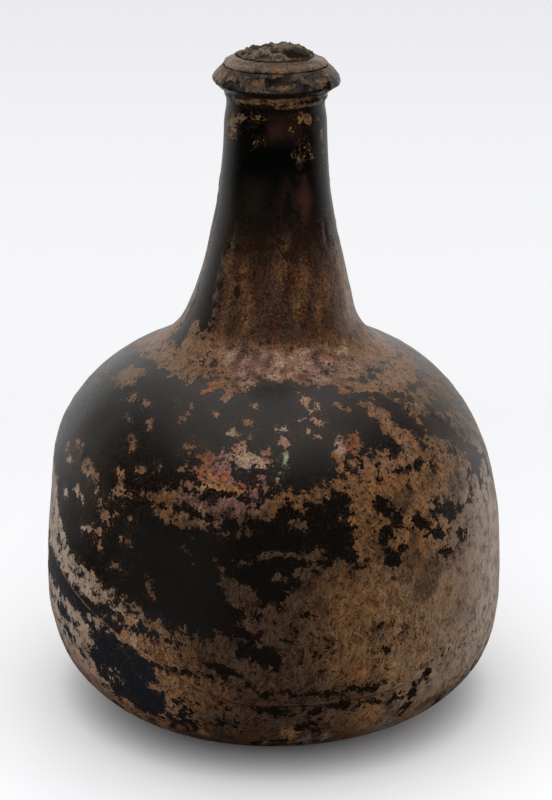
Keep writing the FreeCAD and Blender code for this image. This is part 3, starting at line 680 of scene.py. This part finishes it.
colour("ochre", np.where(lip, wander(spots, 4, 14) - 0.35, FAR), 0.3, 0.8)

bare = np.tile((0.0050, 0.0034, 0.0024), (len(spots), 1))


def stain_and_sheen(shade, depth, soft, strength=1.0):
    """Tints the bare glass: darker and brown tints are stains, grey ones are painted sheen."""
    share = (strength * ease(depth, -soft, soft))[:, None]
    bare[:] = bare * (1 - share) + np.array(shade) * share


# the grey patches at the shoulder band, down the left side of body and neck, the bluish one low on
# the left and the one under the pink ring are painted sheen; the brown ones are stains
stain_and_sheen((0.008, 0.007, 0.006), patch(-60, 20, 108, 142), 6)
stain_and_sheen((0.026, 0.018, 0.013), patch(50, 90, 98, 136), 8)
stain_and_sheen((0.014, 0.011, 0.009), patch(-90, -48, 85, 112), 8)
stain_and_sheen((0.012, 0.010, 0.009), patch(-90, -48, 150, 200), 4)
stain_and_sheen((0.009, 0.0078, 0.0066), patch(-45, -12, 60, 98), 8)
stain_and_sheen((0.008, 0.0095, 0.0135), patch(-75, -25, 28, 68), 6)
stain_and_sheen((0.0012, 0.0008, 0.0005), patch(-180, 180, 200, 226), 8)
stain_and_sheen((0.026, 0.0085, 0.0025), patch(-40, 60, 160, 187), 10)
stain_and_sheen((0.030, 0.010, 0.006), wisp(6, (20, 178), (12, 203)), 3, 0.5)
stain_and_sheen((0.055, 0.014, 0.008), wisp(2.6, (30, 190), (32, 203)), 2, 0.8)
stain_and_sheen((0.050, 0.014, 0.008), wisp(2.4, (-4, 215), (6, 219)), 2, 0.7)
# painted sheen: grey under the pink ring, where the glass reflects dark
stain_and_sheen((0.028, 0.024, 0.021), patch(-12, 12, 137, 143), 4, 0.8)
stain_and_sheen((0.022, 0.008, 0.004), patch(-8, 30, 214, 222), 3, 0.6)
stain_and_sheen((0.016, 0.011, 0.004), patch(-32, -10, 192, 202), 4, 0.6)

# The wall swells and sinks a little, the crust stands proud of it, a fine crease runs down across
# the lower left side where the glass sagged, and the neck stands a little off the middle
neck_off, no_crease = 0.45, 50.0
turns = np.radians(turn)
right = np.maximum(np.sin(turns), 0)
left = np.maximum(-np.sin(turns), 0)
full = 1.8 * (left - right) * ease(spots[:, 2], 60, 92) * (1 - ease(spots[:, 2], 108, 140))
full += (1.4 * right + 0.5 * left) * ease(spots[:, 2], -6, 9) * (1 - ease(spots[:, 2], 14, 30))
full -= 0.7 * left * ease(spots[:, 2], 14, 26) * (1 - ease(spots[:, 2], 34, 60))
waves = 0.35 * wander(spots, 38, 1) + 0.10 * wander(spots, 11, 2)
shell = np.where(outside, ease(climb, 2, 14) * (1 - ease(climb, 195, 215)), 0)
grit = wander(spots, 2.6, 3) * 0.5 + wander(spots, 6, 4) * 0.5
raised = 0.14 * ease(crust.depth + 1.5 * grit, -0.4, 0.6) * (1 + 0.5 * grit)
crease_climb = np.interp(turn, (-75, -62, -52, -40, -30, -25, -18, -8, 10, 30, 55),
                         (71, 67, 63, 58.5, 54.5, 52, 48, 44, 43.5, 45, 50))
crease = np.where((abs(turn + 22) < 56) & outside, climb - crease_climb, no_crease)
fold = 0.45 * np.exp(-((crease - 0.6) / 1.2) ** 2) - 0.25 * np.exp(-((crease + 2) / 1.6) ** 2)
waves += np.where(lip, 0.30 * wander(spots, 5, 5) + 0.35 * wander(spots, 2.4, 16), 0)
shell = np.where(lip, 1, shell)
push = full * shell + (waves + raised + fold) * shell
out_way = spots[:, :2] / girth[:, None]
spots[:, :2] += out_way * push[:, None]
spots[:, 0] += neck_off * ease(spots[:, 2], 90, 190)
rough_ring = 0.9 * ease(-abs(np.hypot(spots[:, 0], spots[:, 1]) - pontil), -1.8, 0) * under
spots[:, 2] -= rough_ring * (1 + 0.8 * wander(spots, 3, 6))

glass_data.vertices.foreach_set("co", (spots / 1000).astype(np.float32).ravel())


def keep(data, name, values):
    """Stores a number or a colour at each vertex."""
    if values.ndim == 1:
        layer = data.attributes.new(name, "FLOAT", "POINT")
        layer.data.foreach_set("value", values.astype(np.float32))
    else:
        layer = data.attributes.new(name, "FLOAT_COLOR", "POINT")
        full_colour = np.c_[values, np.ones(len(values))]
        layer.data.foreach_set("color", full_colour.astype(np.float32).ravel())


keep(glass_data, "crust", np.clip(crust.depth, FAR, -FAR))
keep(glass_data, "hue", hue)
keep(glass_data, "bare", bare)
keep(glass_data, "fold", crease)


def painted(tree, name, output="Fac"):
    """What keep stored at each vertex under a name."""
    return add_node(tree, "ShaderNodeAttribute", {"attribute_name": name}).outputs[output]


def weathered(name, reach=1.0):
    """Dark glossy glass with a flaking, pitted burial crust over part of it, a painted sheen where
    the crust is seen aslant, and a painted highlight and shadow along the crease.
    """
    material = bpy.data.materials.new(name)
    material.use_nodes = True
    tree = material.node_tree
    tree.nodes.clear()
    spot = add_node(tree, "ShaderNodeTexCoord").outputs["Object"]

    def grain(scale, detail=4.0, rough=0.55, drawn=None, tilt=(0, 0, 0), where=spot):
        """Noise, drawn out where asked."""
        if drawn:
            where = add_node(
                tree, "ShaderNodeMapping", {"vector_type": "TEXTURE"}, Vector=where, Scale=drawn,
                Rotation=[math.radians(angle) for angle in tilt],
            ).outputs[0]
        return add_node(
            tree, "ShaderNodeTexNoise", Vector=where, Scale=scale, Detail=detail, Roughness=rough
        ).outputs[0]

    depth = painted(tree, "crust")
    tint = painted(tree, "hue", "Color")
    bare_glass = painted(tree, "bare", "Color")
    broad, medium, fine = grain(65, 3), grain(330, 5, 0.62), grain(1300, 4, 0.65)
    speck = grain(3600, 3, 0.6)
    height = add_node(tree, "ShaderNodeSeparateXYZ", Vector=spot).outputs["Z"]
    grainy = span(tree, height, 0.112, 0.128, 0.15, 1.25)
    facing = add_node(tree, "ShaderNodeLayerWeight", Blend=0.5).outputs["Facing"]

    # ragged edge: the distance inside the crust, shaken by noise of three sizes
    edge = depth
    for shake, size in ((broad, 4 * reach), (medium, 11 * reach), (fine, 5 * reach)):
        edge = sums(tree, "MULTIPLY_ADD", sums(tree, "SUBTRACT", shake, 0.5), size, edge)
    mask = span(tree, edge, -0.12, 0.16)
    # pits where the crust has come away in crumbs, and dust that clings to the bare glass
    crumbs = span(tree, grain(700, 3, 0.65), 0.59, 0.63)
    crumbs = sums(tree, "MULTIPLY", crumbs, span(tree, edge, 8, 1.0, 0.1, 1.0))
    mask = sums(tree, "MULTIPLY", mask, sums(tree, "SUBTRACT", 1.0, crumbs))
    dust = sums(tree, "MULTIPLY", span(tree, speck, 0.62, 0.70), span(tree, medium, 0.48, 0.64))
    dust = sums(tree, "MULTIPLY", dust, span(tree, edge, -9, -1, 0.10, 0.6))
    mask = sums(tree, "MAXIMUM", mask, dust)
    flecks = span(tree, grain(1700, 2, 0.5), 0.68, 0.71)
    flecks = sums(tree, "MULTIPLY", flecks, span(tree, broad, 0.40, 0.58))
    flecks = sums(tree, "MULTIPLY", flecks, span(tree, edge, -14, -3, 0.25, 0.8))
    mask = sums(tree, "MAXIMUM", mask, flecks)

    def shade(*factors):
        """The crust's own colour, made darker, paler or warmer."""
        return blend(tree, 1.0, tint, (*factors, 1), "MULTIPLY")

    # crust colour: soft clouds of gold, grey and rust, dark blotches, pale crumbs
    paint = tint
    for cloud, low, high, share, factors in (
        (broad, 0.46, 0.62, 0.7, (1.25, 1.05, 0.65)),
        (grain(95, 4), 0.50, 0.64, 0.6, (1.15, 1.25, 1.45)),
        (grain(170, 4), 0.56, 0.68, 0.7, (1.25, 0.85, 0.60)),
        (grain(120, 4), 0.48, 0.36, 0.6, (0.34, 0.27, 0.20)),
        (medium, 0.50, 0.38, 0.75, (0.38, 0.28, 0.20)),
    ):
        paint = blend(tree, span(tree, cloud, low, high, 0, share), paint, shade(*factors))
    pale = sums(tree, "MULTIPLY", span(tree, fine, 0.50, 0.62, 0, 0.85), grainy)
    paint = blend(tree, pale, paint, shade(2.1, 2.0, 1.85))
    deep = sums(tree, "MULTIPLY", span(tree, fine, 0.46, 0.36, 0, 0.7), grainy)
    paint = blend(tree, deep, paint, shade(0.42, 0.33, 0.25))
    # dark streaks down the side, and fine scratches that lean and curl
    curl = add_node(tree, "ShaderNodeVectorMath", {"operation": "SCALE"}, _0=add_node(
        tree, "ShaderNodeTexNoise", Vector=spot, Scale=28, Detail=1
    ).outputs["Color"], Scale=0.012).outputs[0]
    curled = add_node(
        tree, "ShaderNodeVectorMath", {"operation": "ADD"}, _0=spot, _1=curl
    ).outputs[0]
    streaks = grain(500, 4, 0.6, (1, 1, 9), (0, 7, 0), curled)
    paint = blend(tree, span(tree, streaks, 0.50, 0.38, 0, 0.35), paint, shade(0.40, 0.30, 0.24))
    smooth = sums(tree, "SUBTRACT", 1.1, grainy)
    for tilt, low, high, share, factors in (((0, -24, 0), 0.50, 0.66, 0.65, (1.8, 1.7, 1.5)),
                                            ((0, 14, 0), 0.50, 0.38, 0.8, (0.40, 0.32, 0.25)),
                                            ((0, 58, 20), 0.54, 0.64, 0.5, (1.7, 1.6, 1.4))):
        smear = span(tree, grain(1100, 4, 0.65, (1, 1, 5), tilt, curled), low, high, 0, share)
        paint = blend(tree, sums(tree, "MULTIPLY", smear, smooth), paint, shade(*factors))
    for tilt, share in (
        ((0, 28, 0), 0.6), ((0, -40, 15), 0.6), ((0, 72, 0), 0.4), ((0, 10, 0), 0.5),
    ):
        scratch = grain(1900, 1, 0.5, (1, 1, 50), tilt, curled)
        paint = blend(tree, span(tree, scratch, 0.65, 0.70, 0, share), paint, shade(2.3, 2.1, 1.7))
    thin = span(tree, grain(230, 3), 0.55, 0.45, 0, 0.75)
    thin = sums(tree, "MULTIPLY", span(tree, edge, 2.4, 0.0), thin)
    paint = blend(tree, thin, paint, shade(0.36, 0.28, 0.21))
    # a pale golden highlight painted along the crest of the crease, and a painted shadow in the
    # gully below it
    off_crease = painted(tree, "fold")
    ridge = span(tree, sums(tree, "ABSOLUTE", off_crease), 0.5, 0.12)
    ridge = sums(tree, "MULTIPLY", ridge, span(tree, medium, 0.38, 0.52))
    gully_shadow = sums(tree, "ABSOLUTE", sums(tree, "ADD", off_crease, 0.95))
    paint = blend(tree, span(tree, gully_shadow, 0.8, 0.2, 0, 0.6), paint, shade(0.34, 0.26, 0.20))
    lit_edge = sums(tree, "MULTIPLY", span(tree, edge, 1.6, 0.2), span(tree, medium, 0.46, 0.60))
    paint = blend(tree, sums(tree, "MULTIPLY", lit_edge, 0.5), paint, shade(1.9, 1.85, 1.8))
    pits = span(tree, grain(1700, 2, 0.5), 0.61, 0.67)
    paint = blend(tree, sums(tree, "MULTIPLY", pits, 0.7), paint, (0.008, 0.005, 0.003, 1))
    # painted sheen: the crust is painted a pale dust colour where it is seen aslant, in place of a
    # grazing reflection
    upright = add_node(tree, "ShaderNodeSeparateXYZ", Vector=add_node(
        tree, "ShaderNodeNewGeometry"
    ).outputs["Normal"]).outputs["Z"]
    painted_sheen = sums(tree, "MULTIPLY", span(tree, facing, 0.25, 0.85), span(tree, upright, -0.55, 0.0))
    painted_sheen = sums(tree, "MULTIPLY", painted_sheen, span(tree, upright, 0.65, 0.10, 0.25, 1))
    painted_sheen = sums(tree, "MULTIPLY", painted_sheen, span(tree, height, 0.155, 0.115, 0.4, 1))
    painted_sheen = sums(tree, "MULTIPLY", painted_sheen, span(tree, medium, 0.36, 0.58, 0.25, 0.8))
    paint = blend(tree, painted_sheen, paint, (0.46, 0.38, 0.315, 1))
    # thin brown film on the glass where the crust has worn to nothing
    film = shade(0.34, 0.27, 0.20)
    haze = span(tree, fine, 0.46, 0.62, 0, 0.65)
    haze = sums(tree, "MULTIPLY", span(tree, edge, -3, 0, 0.10, 1), haze)
    base = blend(tree, mask, blend(tree, haze, bare_glass, film), paint)
    # the painted highlight on the crease's crest lies on crust and bare glass alike
    base = blend(tree, sums(tree, "MULTIPLY", ridge, 0.7), base, shade(2.0, 1.7, 1.2))

    rough_glass = span(tree, fine, 0.3, 0.8, 0.24, 0.42)
    rough_crust = span(tree, medium, 0.3, 0.7, 0.32, 0.54)
    roughness = add_node(
        tree, "ShaderNodeMix", {"data_type": "FLOAT"}, _0=mask, _2=rough_glass, _3=rough_crust
    ).outputs[0]
    relief = sums(tree, "MULTIPLY", mask, 0.8)
    relief = sums(tree, "MULTIPLY_ADD", sums(tree, "MULTIPLY", mask, fine), 1.2, relief)
    relief = sums(tree, "MULTIPLY_ADD", sums(tree, "MULTIPLY", mask, speck), 0.3, relief)
    relief = sums(tree, "MULTIPLY_ADD", speck, 0.04, relief)
    relief = sums(tree, "MULTIPLY_ADD", ridge, 0.8, relief)
    bumps = add_node(tree, "ShaderNodeBump", Strength=0.7, Distance=0.0004, Height=relief)
    shader = add_node(
        tree, "ShaderNodeBsdfPrincipled", Base_Color=base, Roughness=roughness,
        Normal=bumps.outputs[0], IOR=1.5,
    )
    shader.inputs["Specular IOR Level"].default_value = 0.28
    shader.inputs["Specular Tint"].default_value = (1.0, 0.94, 0.89, 1)
    add_node(tree, "ShaderNodeOutputMaterial", Surface=shader.outputs[0])
    return material


glass_data.materials.append(weathered("weathered_glass"))
glass = bpy.data.objects.new("bottle_glass", glass_data)
scene.collection.objects.link(glass)
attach(glass, "bottle")
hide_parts("glass_body")

# String rim
# A thread of hot glass was wound round the neck under the lip. Its thick turn was pinched to
# a sharp edge and laps over itself at the right, and its thin tail runs on below.

rim_inside, edge_radius, inside_rows = 14.0, 0.65, 10
rim_path = [
    (rim_inside, 186.0), (14.2, 185.85), (14.35, 186.1), (14.35, 186.45), (14.35, 186.8),
    (14.35, 187.15), (14.35, 187.5), (14.35, 187.85), (14.4, 188.2), (14.5, 188.5),
]
# the slope under the thick turn, its rounded edge, and the slope over it
for k in range(1, 11):
    rim_path.append((14.5 + 0.33 * k, 188.5 + 0.315 * k))
for k in range(0, 7):
    angle = math.radians(-45 + 15 * k)
    rim_path.append((17.75 + edge_radius * math.cos(angle), 192.2 + edge_radius * math.sin(angle)))
for k in range(1, 12):
    rim_path.append((18.1 - 0.235 * k, 192.85 + 0.30 * k))
rim_path += [(15.25, 196.2), (14.9, 195.95), (14.4, 195.6)]
for k in range(inside_rows - 1):
    rim_path.append((rim_inside, 195 - k))

rim_data = spun("string_rim", rim_path, segments=288, closed=True)
spots, row = points_of(rim_data)
turn = np.degrees(np.arctan2(spots[:, 0], -spots[:, 1]))
girth = np.hypot(spots[:, 0], spots[:, 1])
shown = (row > 0) & (row < len(rim_path) - inside_rows)
height = spots[:, 2].copy()

# the thin tail winds down to the left from under the thick turn
push = np.zeros(len(spots))
for start, full in ((190.1, 0.75), (188.2, 0.75)):
    middle = start - 1.9 * ((turn + 110) % 360) / 360
    size = full * (0.45 + 0.55 * ease(turn, -70, 40))
    push = np.maximum(push, size * np.exp(-((height - middle) / 0.62) ** 2))
# the lap at the right: the thick turn hangs lower and its end is folded over
lap = ease(turn, 50, 57) * (1 - ease(turn, 112, 135))
low = (girth > 14.9) & (height < 192.6) & shown
sag = np.where(low, lap * ease(girth, 14.9, 17.4), 0)
fuller = 0.45 * lap * np.sin(np.clip((height - 192.4) / 3.8, 0, 1) * math.pi)
fuller = np.where(shown & (height > 192.4), fuller, 0)
lumps = 0.18 * wander(spots, 6, 8) + 0.14 * wander(spots, 2.2, 9)
push = np.where(shown, push + fuller + lumps + 0.25 * lap * low, 0)
spots[:, :2] += spots[:, :2] / girth[:, None] * push[:, None]
# the edge hangs at the front and rises a little at the left
around = np.radians(turn)
lift = 0.3 * np.maximum(-np.sin(around), 0) - 1.25 * np.maximum(np.cos(around), 0)
lift *= (1 - lap) * ease(girth, 14.9, 17.5)
spots[:, 2] += np.where(shown, 0.22 * wander(spots, 14, 10) * ease(girth, 15, 18) - sag + lift, 0)
spots[:, 0] += neck_off
rim_data.vertices.foreach_set("co", (spots / 1000).astype(np.float32).ravel())

# dust lies on the upper slope and in the grooves of the tail
dust = Coat(turn, height, girth, start=-3.0)
patch, stroke = dust.patch, dust.stroke
dust.add(
    patch(-180, 180, 192.5, 196.6) - 0.4,
    stroke(0.9, (-60, 187), (0, 188.2), (40, 188.9), (100, 189.4)),
    stroke(0.6, (0, 186.3), (40, 186.5), (90, 186.8)),
)
dust.strip(
    stroke(0.7, (-60, 193.4), (-40, 193.6)), stroke(0.8, (-8, 195), (20, 195)),
    stroke(0.9, (15, 193), (30, 193.4)),
)
hue = np.tile((0.052, 0.038, 0.028), (len(spots), 1))
colour("ochre", np.where(shown, wander(spots, 2.0, 17) - 0.6, -9), 0.2, 0.8)
for mark in ((-55, 195), (-48, 193.8), (-22, 194.6), (2, 193.8), (8, 194.4), (-75, 194.5),
             (48, 194)):
    colour("ochre", stroke(0.5, mark, (mark[0] + 7, mark[1] - 0.4)), 0.8, 0.85)
colour("tan", patch(-100, -60, 193, 196.6), 1.5, 0.7)
colour("ochre", patch(-180, 180, 186, 190), 1, 0.6)
bare = np.tile((0.006, 0.003, 0.002), (len(spots), 1))
stain_and_sheen((0.022, 0.006, 0.003), patch(-40, 40, 187.5, 190.5), 1)
keep(rim_data, "crust", dust.depth)
keep(rim_data, "hue", hue)
keep(rim_data, "bare", bare)
keep(rim_data, "fold", np.full(len(spots), no_crease))
rim_data.materials.append(weathered("rim_glass", 0.32))
rim = bpy.data.objects.new("string_rim_glass", rim_data)
scene.collection.objects.link(rim)
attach(rim, "bottle")
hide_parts("string_rim")

# Cork
# The old cork broke off at the lip. Its dried stump has swollen over the bore into a crumbly
# mound, with a hollow at the right where it has rotted away, painted near black as shade.

mound, mound_rows = 11.3, 41
cork_path = [(0, 174.8), (4, 174.8), (7, 174.8), (8.4, 174.85), (8.95, 175.2)]
for k in range(31):
    cork_path.append((9.1 + 0.027 * k, 175.8 + 0.73 * k))
cork_path += [(9.95, 198.6), (10.4, 198.85), (11.0, 198.88), (mound, 199.0)]
mound_start = len(cork_path) - 1
for k in range(1, mound_rows + 1):
    r = mound * (1 - k / mound_rows)
    cork_path.append((r, 199.2 + 1.9 * (1 - (r / 11.4) ** 2.4) ** 0.9))
cork_data = spun("cork_stump", cork_path, segments=180)
spots, row = points_of(cork_data)
top = ease(spots[:, 2], 199.05, 199.7)
x, y = spots[:, 0], spots[:, 1]
hollow = np.exp(-(((x - 6.3) / 3.7) ** 2 + ((y + 4.8) / 3.4) ** 2) ** 1.5)
crumble = 0.50 * wander(spots, 4.2, 11) + 0.60 * wander(spots, 2.1, 12)
crumble += 0.38 * wander(spots, 1.0, 13)
lean = 0.2 * np.exp(-((x + 1) / 5) ** 2) - 0.5 * ease(-x, 5, 10)
spots[:, 2] += top * (crumble * 1.05 + lean - 3.4 * hollow)
lowest = np.where(np.hypot(x, y) > 9.8, 198.88, 196.0)
spots[:, 2] = np.where(row > mound_start, np.maximum(spots[:, 2], lowest), spots[:, 2])
outward = spots[:, :2] / np.maximum(np.hypot(x, y), 0.5)[:, None]
spots[:, :2] += outward * (top * (1 - ease(spots[:, 2], 199.5, 201.5)) * 0.25 * crumble)[:, None]
spread = ease(np.hypot(x, y), 9.9, 11) * (spots[:, 2] > 198.7)
spots[:, :2] += outward * (spread * (wander(spots, 3.5, 15) - 0.1))[:, None]
side = ease(-spots[:, 2], -198.4, -197) * ease(np.hypot(x, y), 8, 9)
pores = np.maximum(wander(spots * (1, 1, 0.6), 1.5, 18) - 0.35, 0)
pores += 0.35 * abs(wander(spots * (1, 1, 0.3), 3, 19))
spots[:, :2] -= outward * (0.42 * side * pores)[:, None]
spots[:, 0] += neck_off * ease(spots[:, 2], 176, 190)
cork_data.vertices.foreach_set("co", (spots / 1000).astype(np.float32).ravel())
keep(cork_data, "rot", np.clip(hollow * 1.4, 0, 1) * top)
keep(cork_data, "lump", crumble * top)
keep(cork_data, "side", ease(-spots[:, 2], -198.9, -198.2))
keep(cork_data, "pore", pores)

cork_material = bpy.data.materials.new("old_cork")
cork_material.use_nodes = True
tree = cork_material.node_tree
tree.nodes.clear()
spot = add_node(tree, "ShaderNodeTexCoord").outputs["Object"]
lump, crumb = (
    add_node(
        tree, "ShaderNodeTexNoise", Vector=spot, Scale=scale, Detail=detail, Roughness=rough
    ).outputs[0]
    for scale, detail, rough in ((420, 5, 0.65), (1500, 4, 0.7))
)
cell = add_node(tree, "ShaderNodeTexVoronoi", Vector=spot, Scale=1300).outputs["Distance"]
paint = blend(tree, span(tree, lump, 0.38, 0.62), (0.065, 0.040, 0.022, 1), (0.24, 0.175, 0.115, 1))
paint = blend(tree, span(tree, crumb, 0.56, 0.68), paint, (0.30, 0.26, 0.20, 1))
paint = blend(tree, span(tree, crumb, 0.50, 0.38, 0, 0.9), paint, (0.020, 0.014, 0.009, 1))
mossy = sums(tree, "MULTIPLY", span(tree, lump, 0.55, 0.66), 0.2)
paint = blend(tree, mossy, paint, (0.12, 0.13, 0.075, 1))
# painted shade in the low crevices of the crumbled top, and a painted highlight on its high lumps
high = painted(tree, "lump")
paint = blend(tree, span(tree, high, 0.25, -0.45, 0, 0.9), paint, (0.034, 0.020, 0.011, 1))
paint = blend(tree, span(tree, high, 0.1, 0.8, 0, 0.5), paint, (0.32, 0.26, 0.19, 1))
# painted shade: the hollow is painted near black
rot = painted(tree, "rot")
paint = blend(tree, span(tree, rot, 0.05, 0.4, 0, 0.95), paint, (0.010, 0.007, 0.005, 1))
# the side stayed brown and close, with dark pores
close = blend(tree, span(tree, lump, 0.36, 0.64), (0.060, 0.026, 0.011, 1),
              (0.165, 0.088, 0.042, 1))
close = blend(tree, span(tree, crumb, 0.54, 0.70, 0, 0.6), close, (0.26, 0.17, 0.10, 1))
pore = painted(tree, "pore")
close = blend(tree, span(tree, pore, 0.25, 0.7, 0, 0.9), close, (0.018, 0.009, 0.005, 1))
side_share = painted(tree, "side")
paint = blend(tree, side_share, paint, close)
relief = sums(tree, "MULTIPLY_ADD", cell, 0.6, crumb)
bumps = add_node(tree, "ShaderNodeBump", Strength=1.0, Distance=0.0006, Height=relief)
shader = add_node(
    tree, "ShaderNodeBsdfPrincipled", Base_Color=paint, Roughness=0.93, Normal=bumps.outputs[0]
)
shader.inputs["Specular IOR Level"].default_value = 0.2
add_node(tree, "ShaderNodeOutputMaterial", Surface=shader.outputs[0])
cork_data.materials.append(cork_material)
cork = bpy.data.objects.new("cork_mound", cork_data)
scene.collection.objects.link(cork)
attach(cork, "cork")
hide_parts("cork_stump")
